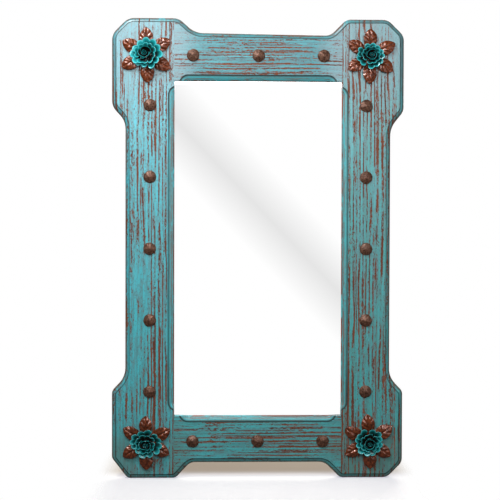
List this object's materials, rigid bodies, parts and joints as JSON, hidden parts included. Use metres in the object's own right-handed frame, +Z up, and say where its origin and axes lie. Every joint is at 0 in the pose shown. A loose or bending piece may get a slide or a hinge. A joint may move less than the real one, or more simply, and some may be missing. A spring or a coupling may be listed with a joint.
{
  "type": "accent mirror",
  "caption": "Rectangular wall mirror in a distressed turquoise wooden frame with shaped corner ears, forged nail heads and a sheet-metal rose on copper leaves at each corner.",
  "frame": {"origin": "centre of the back panel's back face, on the plane that lies on the wall", "axes": "+X to the right seen from the front, +Y towards the wall, +Z up; the front faces -Y"},
  "size_m": [0.58, 0.0522, 0.914],
  "materials": {
    "painted_board": "turquoise paint rubbed through to red-brown stained wood",
    "mirror_sheet": "plain silvered glass, not bevelled",
    "hardboard": "brown hardboard",
    "dowel_wood": "beech",
    "forged_iron": "hammered, brown patina, waxed",
    "copper_leaf": "antique copper, glossy lacquer",
    "teal_petal": "teal enamel, glossy, rims rubbed light",
    "plain_steel": "zinc plated"
  },
  "bodies": {
    "frame": {"left_stile": "painted_board", "right_stile": "painted_board", "top_rail": "painted_board", "bottom_rail": "painted_board", "mirror_glass": "mirror_sheet", "back_panel": "hardboard", "panel_screws": "plain_steel", "joint_dowels": "dowel_wood", "left_stile_nails": "forged_iron", "right_stile_nails": "forged_iron", "top_rail_nails": "forged_iron", "bottom_rail_nails": "forged_iron", "top_left_rose_leaves": "copper_leaf", "top_left_rose_outer_petals": "teal_petal", "top_left_rose_middle_petals": "teal_petal", "top_left_rose_inner_petals": "teal_petal", "top_left_rose_bud": "teal_petal", "top_left_rose_pin": "plain_steel", "top_right_rose_leaves": "copper_leaf", "top_right_rose_outer_petals": "teal_petal", "top_right_rose_middle_petals": "teal_petal", "top_right_rose_inner_petals": "teal_petal", "top_right_rose_bud": "teal_petal", "top_right_rose_pin": "plain_steel", "bottom_right_rose_leaves": "copper_leaf", "bottom_right_rose_outer_petals": "teal_petal", "bottom_right_rose_middle_petals": "teal_petal", "bottom_right_rose_inner_petals": "teal_petal", "bottom_right_rose_bud": "teal_petal", "bottom_right_rose_pin": "plain_steel", "bottom_left_rose_leaves": "copper_leaf", "bottom_left_rose_outer_petals": "teal_petal", "bottom_left_rose_middle_petals": "teal_petal", "bottom_left_rose_inner_petals": "teal_petal", "bottom_left_rose_bud": "teal_petal", "bottom_left_rose_pin": "plain_steel", "left_hanger_strap": "plain_steel", "left_hanger_screws": "plain_steel", "right_hanger_strap": "plain_steel", "right_hanger_screws": "plain_steel"},
    "left_ring": {"left_hanger_ring": "plain_steel"},
    "right_ring": {"right_hanger_ring": "plain_steel"}
  },
  "joints": [
    {"name": "left_ring_swing", "type": "hinge", "parent": "frame", "child": "left_ring", "pos_m": [-0.215, 0.00258, 0.213], "axis": [-1, 0, 0], "range_deg": [0, 175]},
    {"name": "right_ring_swing", "type": "hinge", "parent": "frame", "child": "right_ring", "pos_m": [0.215, 0.00258, 0.213], "axis": [-1, 0, 0], "range_deg": [0, 175]}
  ]
}
